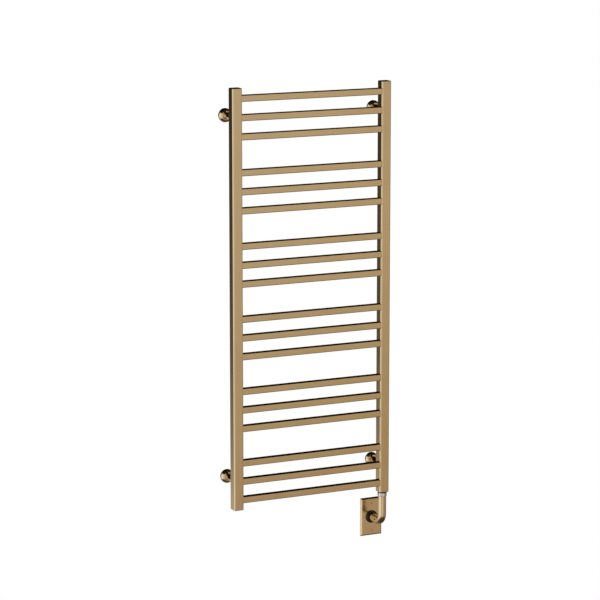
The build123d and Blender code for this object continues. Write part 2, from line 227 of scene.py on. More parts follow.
@dataclass(frozen=True)
class Finish:
    """What every finish has: a name, a colour and a range of roughness."""

    name: str
    base: Colour
    roughness: tuple[float, float]

    def material(self) -> bpy.types.Material:
        """Makes the material, or returns the one already made.

        Returns:
            The material.
        """
        made = bpy.data.materials.get(self.name)
        if made:
            return made
        made = bpy.data.materials.new(self.name)
        made.use_nodes = True
        board = NodeBoard(made.node_tree)
        out = board.add("ShaderNodeOutputMaterial")
        surface = board.add("ShaderNodeBsdfPrincipled")
        height, strength = self.paint(board, surface)
        bump = board.add("ShaderNodeBump")
        bump.inputs["Strength"].default_value = strength
        bump.inputs["Distance"].default_value = GRAIN_DEPTH
        board.join(height, bump.inputs["Height"])
        board.join(bump.outputs["Normal"], surface.inputs["Normal"])
        board.join(surface.outputs["BSDF"], out.inputs["Surface"])
        return made

    def paint(self, board: NodeBoard, surface: bpy.types.Node) -> tuple[bpy.types.NodeSocket, float]:
        """Gives the surface its colour and roughness; each kind of finish has its own.

        Args:
            board: The material's nodes.
            surface: The shader.

        Returns:
            What the bump follows, and how strong it is.
        """
        raise NotImplementedError

    def shaded(
        self, board: NodeBoard, source: bpy.types.NodeSocket, darker: float, lighter: float
    ) -> bpy.types.NodeSocket:
        """Varies the base colour with a noise.

        Args:
            board: The material's nodes.
            source: The noise.
            darker: What the colour is multiplied by where the noise is low.
            lighter: What it is multiplied by where the noise is high.

        Returns:
            The varied colour.
        """
        dark = tuple(c * darker for c in self.base)
        light = tuple(min(1.0, c * lighter) for c in self.base)
        return board.ramp(source, ((NOISE_LOW, dark), (NOISE_HIGH, light)))


@dataclass(frozen=True)
class Metal(Finish):
    """A polished or brushed metal, with fine lines, patches and dulled spots."""

    grain: Grain
    shade: float = 0.03
    bump: float = 0.012
    patch_scale: Point = (14.0, 14.0, 14.0)
    dulling: float = 0.015

    def paint(self, board: NodeBoard, surface: bpy.types.Node) -> tuple[bpy.types.NodeSocket, float]:
        """Paints the metal; the bump follows its fine lines.

        Args:
            board: The material's nodes.
            surface: The shader.

        Returns:
            What the bump follows, and how strong it is.
        """
        surface.inputs["Metallic"].default_value = 1.0
        lines = board.noise(self.grain.value)
        patches = board.noise(self.patch_scale, detail=4.0)
        colour = self.shaded(board, patches, 1.0 - self.shade, 1.0 + self.shade)
        board.join(colour, surface.inputs["Base Color"])
        polish = board.spread(lines, *self.roughness)
        dulled = board.math("ADD", polish, board.spread(patches, -self.dulling, self.dulling))
        board.join(dulled, surface.inputs["Roughness"])
        return lines, self.bump


@dataclass(frozen=True)
class Moulded(Finish):
    """A rubber or plastic, with a faint moulded grain."""

    pebble: float = 0.15
    darkest: float = 0.85
    lightest: float = 1.12
    patch_scale: Point = (60.0, 60.0, 60.0)

    def paint(self, board: NodeBoard, surface: bpy.types.Node) -> tuple[bpy.types.NodeSocket, float]:
        """Paints the rubber or plastic; the bump follows its moulded skin.

        Args:
            board: The material's nodes.
            surface: The shader.

        Returns:
            What the bump follows, and how strong it is.
        """
        skin = board.noise(Grain.EVEN.value, size=2.0)
        patches = board.noise(self.patch_scale)
        colour = self.shaded(board, patches, self.darkest, self.lightest)
        board.join(colour, surface.inputs["Base Color"])
        board.join(board.spread(patches, *self.roughness), surface.inputs["Roughness"])
        return skin, self.pebble


BRONZE: Colour = (0.83, 0.61, 0.34)
UPRIGHT_BRONZE = Metal("bronze_brushed_upright", BRONZE, (0.08, 0.12), Grain.ALONG_Z)
LEVEL_BRONZE = Metal("bronze_brushed_level", BRONZE, (0.08, 0.12), Grain.ALONG_X)
DEEP_BRONZE = Metal("bronze_brushed_deep", BRONZE, (0.08, 0.12), Grain.ALONG_Y)
PLATE_BRONZE = Metal("bronze_plate", BRONZE, (0.16, 0.24), Grain.ALONG_Z)
TURNED_BRONZE = Metal("bronze_turned", BRONZE, (0.07, 0.11), Grain.EVEN, bump=0.006)
COLLAR_PLATING = Metal("collar_plating", (0.86, 0.78, 0.66), (0.10, 0.16), Grain.EVEN, bump=0.006)
BARE_STEEL = Metal("bare_steel", (0.56, 0.56, 0.57), (0.25, 0.38), Grain.ALONG_Z)
BLACK_STEEL = Metal("blackened_steel", (0.10, 0.10, 0.10), (0.30, 0.42), Grain.EVEN)
CAST_ZINC = Metal("cast_zinc", (0.62, 0.62, 0.64), (0.38, 0.52), Grain.EVEN, shade=0.10, bump=0.25)
VENT_BRASS = Metal("vent_brass", (0.80, 0.66, 0.38), (0.16, 0.26), Grain.EVEN, bump=0.03)
BLACK_RUBBER = Moulded("black_rubber", (0.012, 0.011, 0.010), (0.45, 0.60))
GROMMET_RUBBER = Moulded("grommet_rubber", (0.010, 0.008, 0.006), (0.22, 0.34))
LEAD_JACKET = Moulded("lead_jacket", (0.020, 0.020, 0.020), (0.40, 0.55))
BLACK_PLASTIC = Moulded("black_plastic", (0.020, 0.020, 0.021), (0.38, 0.50))
WHITE_PLASTIC = Moulded("white_plastic", (0.78, 0.77, 0.72), (0.35, 0.48))
LIMITER_CASE = Moulded("limiter_case", (0.68, 0.62, 0.50), (0.45, 0.60))
CORE_BLACK = Moulded("core_black", (0.012, 0.012, 0.012), (0.28, 0.36))
CORE_WHITE = Moulded("core_white", (0.80, 0.80, 0.76), (0.28, 0.36))
CORE_GREEN = Moulded("core_green", (0.02, 0.22, 0.05), (0.28, 0.36))


class Bench:
    """Modelling moves that the sub-assemblies share."""

    @staticmethod
    def clear() -> None:
        """Leaves edit mode and deselects everything."""
        if bpy.context.object and bpy.context.object.mode != "OBJECT":
            bpy.ops.object.mode_set(mode="OBJECT")
        bpy.ops.object.select_all(action="DESELECT")

    @classmethod
    def take(cls, piece: Object) -> None:
        """Makes a piece the active one, and the only one selected.

        Args:
            piece: The piece.
        """
        cls.clear()
        bpy.context.view_layer.objects.active = piece
        piece.select_set(True)

    @staticmethod
    def settle(piece: Object, name: str) -> Object:
        """Names a new primitive and moves its place into its mesh.

        Args:
            piece: The object just added.
            name: The piece's name.

        Returns:
            The same object, at the origin.
        """
        piece.name = name
        piece.data.name = name
        bpy.ops.object.transform_apply(location=True, rotation=True, scale=True)
        return piece

    @classmethod
    def block(cls, name: str, low: Vector, high: Vector) -> Object:
        """Adds a block between two corners.

        Args:
            name: The piece's name.
            low: Its lowest corner.
            high: Its highest corner.

        Returns:
            The block.
        """
        cls.clear()
        bpy.ops.mesh.primitive_cube_add(size=1.0, location=(low + high) / 2, scale=high - low)
        return cls.settle(bpy.context.object, name)

    @classmethod
    def rod(
        cls,
        name: str,
        centre: Vector,
        radius: float,
        length: float,
        axis: Turning,
        sides: int = 64,
        turned_by: float = 0.0,
    ) -> Object:
        """Adds a round or many-sided bar.

        Args:
            name: The piece's name.
            centre: The middle of the bar.
            radius: Its radius, over the corners.
            length: Its length.
            axis: The axis it lies along.
            sides: How many sides it has.
            turned_by: How far it is turned round its own axis.

        Returns:
            The bar.
        """
        cls.clear()
        turn = (math.pi / 2, turned_by, 0.0) if axis is Turning.Y else (0.0, 0.0, turned_by)
        bpy.ops.mesh.primitive_cylinder_add(
            vertices=sides, radius=radius, depth=length, location=centre, rotation=turn
        )
        return cls.settle(bpy.context.object, name)

    @classmethod
    def pick_edges(cls, piece: Object, wanted: Callable[[Vector, Vector], bool]) -> None:
        """Selects edges by their ends and stays in edit mode.

        Args:
            piece: The active piece.
            wanted: Says whether the edge between two points is wanted.
        """
        bpy.ops.object.mode_set(mode="EDIT")
        bpy.ops.mesh.select_mode(type="EDGE")
        bpy.ops.mesh.select_all(action="DESELECT")
        bpy.ops.object.mode_set(mode="OBJECT")
        points = piece.data.vertices
        for edge in piece.data.edges:
            edge.select = wanted(points[edge.vertices[0]].co, points[edge.vertices[1]].co)
        bpy.ops.object.mode_set(mode="EDIT")

    @classmethod
    def round_edges(
        cls, piece: Object, radius: float, steps: int, wanted: Callable[[Vector, Vector], bool]
    ) -> None:
        """Rounds or chamfers the wanted edges.

        Args:
            piece: The active piece.
            radius: The width of the rounding.
            steps: How many faces it has; one makes a chamfer.
            wanted: Says which edges.
        """
        cls.pick_edges(piece, wanted)
        bpy.ops.mesh.bevel(offset=radius, segments=steps, affect="EDGES", clamp_overlap=False)
        bpy.ops.object.mode_set(mode="OBJECT")

    @classmethod
    def modifier(cls, piece: Object, kind: str, **values: object) -> None:
        """Adds a modifier and applies it.

        Args:
            piece: The piece to change.
            kind: The modifier's type.
            values: Its properties, by name.
        """
        cls.take(piece)
        made = piece.modifiers.new(kind.lower(), kind)
        for name, value in values.items():
            setattr(made, name, value)
        bpy.ops.object.modifier_apply(modifier=made.name)

    @classmethod
    def soften(cls, piece: Object, width: float, steps: int = 3) -> None:
        """Eases every crisp edge of a piece.

        Args:
            piece: The piece.
            width: The width of the easing.
            steps: How many faces it has.
        """
        cls.modifier(
            piece, "BEVEL", width=width, segments=steps, limit_method="ANGLE", angle_limit=SOFTEN_ANGLE
        )

    @classmethod
    def polish(cls, piece: Object, angle: float = 40.0) -> None:
        """Shades a piece smooth, with flat faces kept flat.

        Args:
            piece: The piece.
            angle: Edges sharper than this stay crisp, in degrees.
        """
        cls.take(piece)
        bpy.ops.object.shade_smooth_by_angle(angle=math.radians(angle))
        cls.modifier(piece, "WEIGHTED_NORMAL", keep_sharp=True, weight=60)

    @classmethod
    def outward(cls, piece: Object) -> None:
        """Merges doubled points and turns every face outwards.

        Args:
            piece: The piece.
        """
        cls.take(piece)
        bpy.ops.object.mode_set(mode="EDIT")
        bpy.ops.mesh.select_all(action="SELECT")
        bpy.ops.mesh.remove_doubles(threshold=MERGE_DISTANCE)
        bpy.ops.mesh.normals_make_consistent(inside=False)
        bpy.ops.object.mode_set(mode="OBJECT")

    @classmethod
    def turned(
        cls, name: str, origin: Vector, axis: Turning, profile: Sequence[tuple[float, float]], steps: int = 72
    ) -> Object:
        """Turns a closed profile round an axis, as on a lathe.

        Args:
            name: The piece's name.
            origin: A point on the axis.
            axis: The axis it is turned round.
            profile: Places along the axis with their radii; the last joins the first.
            steps: How many faces there are round the axis.

        Returns:
            The turned piece.
        """

        def place(along: float, radius: float) -> Vector:
            """Gives the point of the profile, on the +X side of the axis."""
            return origin + Vector(axis.value) * along + Vector((radius, 0.0, 0.0))

        cls.clear()
        first = place(*profile[0])
        bpy.ops.mesh.primitive_plane_add(size=MM, location=first)
        piece = cls.settle(bpy.context.object, name)
        bpy.ops.object.mode_set(mode="EDIT")
        bpy.ops.mesh.select_mode(type="VERT")
        bpy.ops.mesh.select_all(action="SELECT")
        bpy.ops.mesh.merge(type="CENTER")
        last = first
        for along, radius in profile[1:]:
            point = place(along, radius)
            bpy.ops.mesh.extrude_region_move(TRANSFORM_OT_translate={"value": point - last})
            last = point
        bpy.ops.mesh.extrude_region_move(TRANSFORM_OT_translate={"value": first - last})
        bpy.ops.mesh.select_all(action="SELECT")
        bpy.ops.mesh.remove_doubles(threshold=MERGE_DISTANCE)
        bpy.ops.mesh.select_all(action="SELECT")
        bpy.ops.mesh.spin(steps=steps, angle=2 * math.pi, center=origin, axis=axis.value)
        cls.outward(piece)
        return piece

    @classmethod
    def cut(cls, piece: Object, cutter: Object) -> None:
        """Cuts one piece out of another and removes the cutter.

        Args:
            piece: The piece that stays.
            cutter: The piece that is taken away.
        """
        cls.modifier(piece, "BOOLEAN", operation="DIFFERENCE", solver="EXACT", object=cutter)
        bpy.data.objects.remove(cutter, do_unlink=True)

    @classmethod
    def weld(cls, piece: Object, other: Object) -> None:
        """Joins another solid to a piece where they meet.

        Args:
            piece: The piece that stays.
            other: The piece that becomes part of it.
        """
        cls.modifier(piece, "BOOLEAN", operation="UNION", solver="EXACT", object=other)
        bpy.data.objects.remove(other, do_unlink=True)

    @classmethod
    def copy(cls, piece: Object, name: str, move: Vector) -> Object:
        """Copies a piece with its own mesh, moved in the mesh.

        Args:
            piece: The piece to copy.
            name: The copy's name.
            move: How far the copy lies from the first.

        Returns:
            The copy.
        """
        cls.take(piece)
        bpy.ops.object.duplicate(linked=False)
        twin = bpy.context.object
        twin.location = move
        return cls.settle(twin, name)


def on_wall(node: str) -> Vector:
    """The point of the wall plane that is straight behind the middle of a node."""
    low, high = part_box(node)
    return Vector(((low.x + high.x) / 2, 0.0, (low.z + high.z) / 2))


def hand_over(
    piece: Object, finish: Finish, body: str, nodes: Sequence[str], note: str
) -> None:
    """Gives a finished piece its finish, its body and the nodes it stands for, and reports it.

    Args:
        piece: The finished piece.
        finish: Its finish.
        body: The body it moves with.
        nodes: The nodes that it replaces.
        note: What it is, for the log.
    """
    piece.data.materials.clear()
    piece.data.materials.append(finish.material())
    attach(piece, body)
    if nodes:
        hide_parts(*nodes)
    LOG.info("%s: %s, %d faces", piece.name, note, len(piece.data.polygons))


@dataclass
class Post:
    """One upright: a square tube with rounded edges and closed ends."""

    side: Side
    edge_radius: float = 4.5 * MM
    end_radius: float = 2.0 * MM
    edge_steps: int = 10
    end_steps: int = 6

    @property
    def word(self) -> str:
        """The side's name, as the nodes use it."""
        return self.side.name.lower()

    def build(self) -> Object:
        """Builds the shell over the tube and its two end caps.

        Returns:
            The shell.
        """
        low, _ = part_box(f"{self.word}_bottom_cap")
        _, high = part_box(f"{self.word}_top_cap")
        shell = Bench.block(f"{self.word}_post_shell", low, high)
        Bench.round_edges(
            shell, self.edge_radius, self.edge_steps, lambda a, b: abs(a.z - b.z) > 0.5 * (high.z - low.z)
        )
        Bench.round_edges(
            shell,
            self.end_radius,
            self.end_steps,
            lambda a, b: a.z == b.z and (abs(a.z - low.z) < SAME or abs(a.z - high.z) < SAME),
        )
        Bench.polish(shell)
        return shell

    def dress(self) -> None:
        """Builds the shell and hands it over."""
        word = self.word
        nodes = (f"{word}_post", f"{word}_top_cap", f"{word}_bottom_cap")
        hand_over(self.build(), UPRIGHT_BRONZE, "frame", nodes, "upright with closed ends")


@dataclass
class Rungs:
    """The rungs: one is modelled and the others are copies at their own heights."""

    edge_radius: float = 2.5 * MM
    edge_steps: int = 7
    first: str = "rung_01"

    def names(self) -> list[str]:
        """The rung nodes, from the top down."""
        return sorted(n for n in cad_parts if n.startswith("rung_"))

    def build(self) -> Object:
        """Builds the top rung.

        Returns:
            The rung, with its long edges rounded.
        """
        low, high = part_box(self.first)
        bar = Bench.block(f"{self.first}_bar", low, high)
        Bench.round_edges(
            bar, self.edge_radius, self.edge_steps, lambda a, b: abs(a.x - b.x) > 0.5 * (high.x - low.x)
        )
        Bench.polish(bar)
        return bar

    def dress(self) -> None:
        """Makes every rung before any is handed over, because a copy keeps the nodes its first stands for."""
        bar = self.build()
        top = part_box(self.first)[0]
        bars = {
            name: bar if name == self.first else Bench.copy(bar, f"{name}_bar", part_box(name)[0] - top)
            for name in self.names()
        }
        for name, piece in bars.items():
            hand_over(piece, LEVEL_BRONZE, "frame", (name,), "rung")


@dataclass
class Standoff:
    """One wall bracket: the stem behind the post and the domed rosette that slides on it."""

    corner: str
    peg_bore: float = 7.08 * MM
    stem_ease: float = 0.4 * MM
    rim: float = 3.5 * MM
    shell: float = 1.5 * MM
    collar: float = 11.2 * MM
    sleeve_bore: float = 10.08 * MM
    sleeve_radius: float = 11.6 * MM
    sleeve_end: float = 9.0 * MM
    hollow_top: tuple[float, float] = (14.0 * MM, 12.2 * MM)
    hollow_shoulder: tuple[float, float] = (12.0 * MM, 15.2 * MM)
    hollow_wall: float = 6.0 * MM
    rosette_ease: float = 0.35 * MM
    dome_steps: int = 12
    steps: int = 96

    def axis_point(self) -> Vector:
        """The point on the stem's axis at the wall."""
        return on_wall(f"{self.corner}_wall_base")

    def stem(self) -> Object:
        """Builds the stem, a short tube with eased ends.

        Returns:
            The stem.
        """
        low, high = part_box(f"{self.corner}_stem")
        outer = (high.x - low.x) / 2
        inner = self.peg_bore
        profile = ((high.y, inner), (high.y, outer), (low.y, outer), (low.y, inner))
        piece = Bench.turned(f"{self.corner}_stem_tube", self.axis_point(), Turning.Y, profile, self.steps)
        Bench.soften(piece, self.stem_ease)
        Bench.polish(piece)
        return piece

    def rosette(self) -> Object:
        """Builds the rosette: a hollow dome with a straight rim and an inner sleeve.

        Returns:
            The rosette.
        """
        low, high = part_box(f"{self.corner}_rosette")
        radius = (high.x - low.x) / 2
        deep = high.y - low.y
        inside = radius - self.shell
        profile = [(0.0, inside), (0.0, radius), (-self.rim, radius)]
        for step in range(1, self.dome_steps + 1):
            turn = step / self.dome_steps * math.pi / 2
            along = self.rim + (deep - self.rim) * math.sin(turn)
            profile.append((-along, self.collar + (radius - self.collar) * math.cos(turn)))
        profile += [
            (-deep, self.sleeve_bore),
            (-self.sleeve_end, self.sleeve_bore),
            (-self.sleeve_end, self.sleeve_radius),
            (-self.hollow_top[0], self.hollow_top[1]),
            (-self.hollow_shoulder[0], self.hollow_shoulder[1]),
            (-self.hollow_wall, inside),
        ]
        piece = Bench.turned(f"{self.corner}_rosette_dome", self.axis_point(), Turning.Y, profile, self.steps)
        Bench.soften(piece, self.rosette_ease)
        Bench.polish(piece)
        return piece

    def dress(self) -> None:
        """Builds both pieces and hands them over."""
        corner = self.corner
        hand_over(self.stem(), DEEP_BRONZE, "frame", (f"{corner}_stem",), "stem")
        hand_over(
            self.rosette(),
            TURNED_BRONZE,
            f"{corner}_rosette",
            (f"{corner}_rosette",),
            "domed rosette",
        )


@dataclass
class ElementCollar:
    """The visible end of the heating element: a hexagonal collar and the seal above it."""

    corner_radius: float = 2.75 * MM
    end_chamfer: float = 0.7 * MM
    corner_steps: int = 6
    chamfer_steps: int = 3
    thread_radius: float = 10.2 * MM
    neck_radius: float = 7.5 * MM
    elbow_gap: float = 0.3 * MM
    seal_setback: float = 0.2 * MM
    seal_bore: float = 10.3 * MM
    seal_ease: float = 0.4 * MM

    def collar(self) -> Object:
        """Builds the six-sided collar with its neck.

        Returns:
            The collar.
        """
        seal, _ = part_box("element_gasket")
        elbow_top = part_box("elbow")[1].z
        low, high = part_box("element_head")
        flats = (high.x - low.x) / 2
        bottom = elbow_top + self.elbow_gap
        middle = Vector(((low.x + high.x) / 2, (low.y + high.y) / 2, (seal.z + bottom) / 2))
        across = flats / math.cos(HEX_TURN)
        collar = Bench.rod("element_collar", middle, across, seal.z - bottom, Turning.Z, sides=6)
        Bench.round_edges(
            collar, self.corner_radius, self.corner_steps, lambda a, b: abs(a.z - b.z) > APART
        )
        Bench.round_edges(
            collar, self.end_chamfer, self.chamfer_steps, lambda a, b: abs(a.z - b.z) < SAME
        )
        axis = Vector((middle.x, middle.y, 0.0))
        root, thick = seal.z - MM, self.thread_radius
        thread = ((root, 0.0), (root, thick), (high.z, thick), (high.z, 0.0))
        Bench.weld(collar, Bench.turned("collar_thread", axis, Turning.Z, thread))
        root, thick = bottom + MM, self.neck_radius
        neck = ((low.z, 0.0), (low.z, thick), (root, thick), (root, 0.0))
        Bench.weld(collar, Bench.turned("collar_neck", axis, Turning.Z, neck))
        Bench.polish(collar)
        return collar

    def seal(self) -> Object:
        """Builds the seal between the collar and the post.

        Returns:
            The seal.
        """
        low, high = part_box("element_gasket")
        middle = Vector(((low.x + high.x) / 2, (low.y + high.y) / 2, 0.0))
        outer = (high.x - low.x) / 2 - self.seal_setback
        inner = self.seal_bore
        profile = ((low.z, inner), (low.z, outer), (high.z, outer), (high.z, inner))
        piece = Bench.turned("element_seal", middle, Turning.Z, profile)
        Bench.soften(piece, self.seal_ease)
        Bench.polish(piece)
        return piece

    def dress(self) -> None:
        """Builds both pieces and hands them over."""
        hand_over(
            self.collar(), COLLAR_PLATING, "frame", ("element_head",), "hexagonal collar"
        )
        hand_over(self.seal(), BLACK_RUBBER, "frame", ("element_gasket",), "seal")


@dataclass
class Elbow:
    """The tube from the collar, down and back to the wall."""

    wall: float = 1.5 * MM
    bend_radius: float = 25.0 * MM
    end_ease: float = 0.3 * MM
    bend_steps: int = 28
    sides: int = 72

    def build(self) -> Object:
        """Extrudes and spins a ring along the elbow, and gives it its wall.

        Returns:
            The tube.
        """
        low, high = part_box("elbow")
        radius = (high.x - low.x) / 2
        x = (high.x + low.x) / 2
        y = low.y + radius
        leg = low.z + radius
        Bench.clear()
        bpy.ops.mesh.primitive_circle_add(vertices=self.sides, radius=radius, location=(x, y, high.z))
        tube = Bench.settle(bpy.context.object, "elbow_tube")
        bpy.ops.object.mode_set(mode="EDIT")
        bpy.ops.mesh.select_all(action="SELECT")
        fall = leg + self.bend_radius - high.z
        bpy.ops.mesh.extrude_region_move(TRANSFORM_OT_translate={"value": (0.0, 0.0, fall)})
        bpy.ops.mesh.spin(
            steps=self.bend_steps,
            angle=-math.pi / 2,
            center=(x, y + self.bend_radius, leg + self.bend_radius),
            axis=(1.0, 0.0, 0.0),
        )
        run = high.y - y - self.bend_radius
        bpy.ops.mesh.extrude_region_move(TRANSFORM_OT_translate={"value": (0.0, run, 0.0)})
        Bench.outward(tube)
        Bench.modifier(tube, "SOLIDIFY", thickness=self.wall, offset=-1.0, use_rim=True)
        Bench.soften(tube, self.end_ease)
        Bench.polish(tube)
        return tube

    def dress(self) -> None:
        """Builds the tube and hands it over."""
        hand_over(self.build(), TURNED_BRONZE, "elbow", ("elbow",), "bent tube")


@dataclass
class WallPlate:
    """The plate on the wall, with the ring round the tube and its two screws."""

    bevel: float = 4.0 * MM
    corner: float = 1.2 * MM
    crease: float = 0.45 * MM
    sheet: float = 1.6 * MM
    screw_spacing: float = 83.3 * MM
    hollow_bevel: float = 3.4 * MM
    tube_hole: float = 15.0 * MM
    screw_hole: float = 1.9 * MM
    corner_steps: int = 5
    crease_steps: int = 3
    ring_bore: float = 12.08 * MM
    ring_crown: float = 2.5 * MM
    ring_lip: float = 0.8 * MM
    ring_flange: float = 16.5 * MM
    ring_groove: float = 14.98 * MM
    head_radius: float = 3.4 * MM
    shank_radius: float = 1.75 * MM
    slot_half: float = 0.45 * MM
    slot_depth: float = 0.9 * MM
    dome_steps: int = 8

    def middle(self) -> Vector:
        """The middle of the plate, on the wall."""
        return on_wall("wall_plate")

    @staticmethod
    def bevelled(name: str, low: Vector, high: Vector, bevel: float) -> Object:
        """Adds a block with its front edges bevelled.

        Args:
            name: The piece's name.
            low: Its lowest corner.
            high: Its highest corner.
            bevel: The width of the bevel.

        Returns:
            The block.
        """
        block = Bench.block(name, low, high)
        Bench.round_edges(block, bevel, 1, lambda a, b: max(a.y, b.y) < low.y + SAME)
        return block

    def plate(self) -> Object:
        """Builds the plate: bevelled in front, hollow behind, with its holes.

        Returns:
            The plate.
        """
        low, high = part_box("wall_plate")
        plate = self.bevelled("wall_plate_cover", low, high, self.bevel)
        Bench.round_edges(plate, self.corner, self.corner_steps, lambda a, b: abs(a.y - b.y) > APART)
        Bench.round_edges(
            plate,
            self.crease,
            self.crease_steps,
            lambda a, b: abs(a.y - b.y) < SAME and a.y < high.y - MM,
        )
        rim = Vector((self.sheet, 0.0, self.sheet))
        back = Vector((0.0, MM, 0.0))
        depth = Vector((0.0, self.sheet, 0.0))
        inner_low, inner_high = low + rim + depth, high - rim + back
        Bench.cut(plate, self.bevelled("hollow_cutter", inner_low, inner_high, self.hollow_bevel))
        middle = self.middle()
        cutter = Bench.rod("tube_cutter", middle, self.tube_hole, CUTTER_LENGTH, Turning.Y, sides=72)
        Bench.cut(plate, cutter)
        for way in (1, -1):
            place = middle + Vector((0.0, 0.0, way * self.screw_spacing / 2))
            cutter = Bench.rod("screw_cutter", place, self.screw_hole, CUTTER_LENGTH, Turning.Y, sides=32)
            Bench.cut(plate, cutter)
        Bench.polish(plate)
        return plate

    def ring(self) -> Object:
        """Builds the ring round the tube, held in the plate's hole by a groove.

        Returns:
            The ring.
        """
        low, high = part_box("plate_grommet")
        radius = (high.x - low.x) / 2
        bore, crown, lip = self.ring_bore, self.ring_crown, self.ring_lip
        front = self.front()
        back = front + self.sheet
        profile = [(high.y, bore), (high.y, self.ring_flange), (back, self.ring_flange)]
        profile += [(back, self.ring_groove), (front, self.ring_groove), (front, radius)]
        for step in range(self.dome_steps + 1):
            turn = step / self.dome_steps * math.pi / 2
            along = low.y + crown * (1 - math.sin(turn))
            profile.append((along, radius - crown + crown * math.cos(turn)))
        profile += [(low.y, bore + lip), (low.y + lip, bore)]
        piece = Bench.turned("tube_grommet", self.middle(), Turning.Y, profile, 96)
        Bench.polish(piece)
        return piece

    def front(self) -> float:
        """The Y of the plate's front face."""
        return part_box("wall_plate")[0].y

    def screws(self) -> Object:
        """Builds the upper screw, slots it, and joins its twin to it.

        Returns:
            Both screws as one piece.
        """
        low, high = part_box("plate_screws")
        front = self.front()
        head = front - low.y
        profile = [(high.y, 0.0), (high.y, self.shank_radius), (front, self.shank_radius)]
        for step in range(self.dome_steps + 1):
            turn = step / self.dome_steps * math.pi / 2
            profile.append((front - head * math.sin(turn), self.head_radius * math.cos(turn)))
        place = self.middle() + Vector((0.0, 0.0, self.screw_spacing / 2))
        screw = Bench.turned("plate_screw_pair", place, Turning.Y, profile, 40)
        reach = Vector((self.head_radius, 0.0, self.slot_half))
        near = Vector((place.x, low.y - MM, place.z)) - reach
        far = Vector((place.x, low.y + self.slot_depth, place.z)) + reach
        Bench.cut(screw, Bench.block("slot_cutter", near, far))
        twin = Bench.copy(screw, "plate_screw_twin", Vector((0.0, 0.0, -self.screw_spacing)))
        Bench.clear()
        twin.select_set(True)
        screw.select_set(True)
        bpy.context.view_layer.objects.active = screw
        bpy.ops.object.join()
        Bench.polish(screw, 30.0)
        return screw

    def dress(self) -> None:
        """Builds the three pieces and hands them over."""
        body = "wall_plate"
        hand_over(self.plate(), PLATE_BRONZE, body, ("wall_plate",), "bevelled plate")
        hand_over(
            self.ring(), GROMMET_RUBBER, body, ("plate_grommet",), "ring round the tube"
        )
        hand_over(self.screws(), PLATE_BRONZE, body, ("plate_screws",), "two slotted screws")


@dataclass
class Vent:
    """The vent in the back of the left post: hexagonal body, washer and slotted screw."""

    thread_radius: float = 6.0 * MM
    thread_play: float = 0.05 * MM
    bore: float = 2.55 * MM
    nut_ease: float = 0.6 * MM
    nut_steps: int = 3
    washer_ease: float = 0.3 * MM
    screw_ease: float = 0.4 * MM
    slot_half: float = 0.45 * MM
    slot_depth: float = 1.2 * MM
    steps: int = 48

    def axis_point(self) -> Vector:
        """A point on the vent's axis, at the wall."""
        return on_wall("vent_screw")

    def body(self) -> Object:
        """Builds the six-sided body with its bore.

        Returns:
            The body.
        """
        low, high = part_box("vent_body")
        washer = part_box("vent_washer")[1].y
        middle = self.axis_point() + Vector((0.0, (washer + high.y) / 2, 0.0))
        across = (high.z - low.z) / 2 / math.cos(HEX_TURN)
        nut = Bench.rod("vent_nut", middle, across, high.y - washer, Turning.Y, 6, HEX_TURN)
        Bench.round_edges(nut, self.nut_ease, self.nut_steps, lambda a, b: abs(a.y - b.y) > APART)
        Bench.round_edges(nut, self.nut_ease, self.nut_steps, lambda a, b: abs(a.y - b.y) < SAME)
        root, thick = washer + MM, self.thread_radius - self.thread_play
        thread = ((low.y, 0.0), (low.y, thick), (root, thick), (root, 0.0))
        Bench.weld(nut, Bench.turned("vent_thread", self.axis_point(), Turning.Y, thread, self.steps))
        Bench.cut(nut, Bench.rod("bore_cutter", middle, self.bore, CUTTER_LENGTH, Turning.Y, sides=40))
        Bench.polish(nut)
        return nut

    def washer(self) -> Object:
        """Builds the sealing washer.

        Returns:
            The washer.
        """
        low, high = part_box("vent_washer")
        outer = (high.x - low.x) / 2
        inner = self.thread_radius
        profile = ((low.y, inner), (low.y, outer), (high.y, outer), (high.y, inner))
        piece = Bench.turned("vent_seal", self.axis_point(), Turning.Y, profile, self.steps)
        Bench.soften(piece, self.washer_ease)
        Bench.polish(piece)
        return piece

    def screw(self) -> Object:
        """Builds the bleed screw with its slot.

        Returns:
            The screw.
        """
        low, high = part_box("vent_screw")
        radius = (high.x - low.x) / 2
        ease = self.screw_ease
        profile = [(low.y, 0.0), (low.y, radius), (high.y - ease, radius)]
        profile += [(high.y, radius - ease), (high.y, 0.0)]
        place = self.axis_point()
        piece = Bench.turned("vent_bleed_screw", place, Turning.Y, profile, self.steps)
        near = Vector((place.x - 2 * radius, high.y - self.slot_depth, place.z - self.slot_half))
        far = Vector((place.x + 2 * radius, high.y + MM, place.z + self.slot_half))
        Bench.cut(piece, Bench.block("slot_cutter", near, far))
        Bench.polish(piece, 30.0)
        return piece

    def dress(self) -> None:
        """Builds the three pieces and hands them over."""
        hand_over(self.body(), VENT_BRASS, "frame", ("vent_body",), "vent body")
        hand_over(self.washer(), BLACK_RUBBER, "frame", ("vent_washer",), "vent washer")
        hand_over(self.screw(), VENT_BRASS, "vent_screw", ("vent_screw",), "bleed screw")


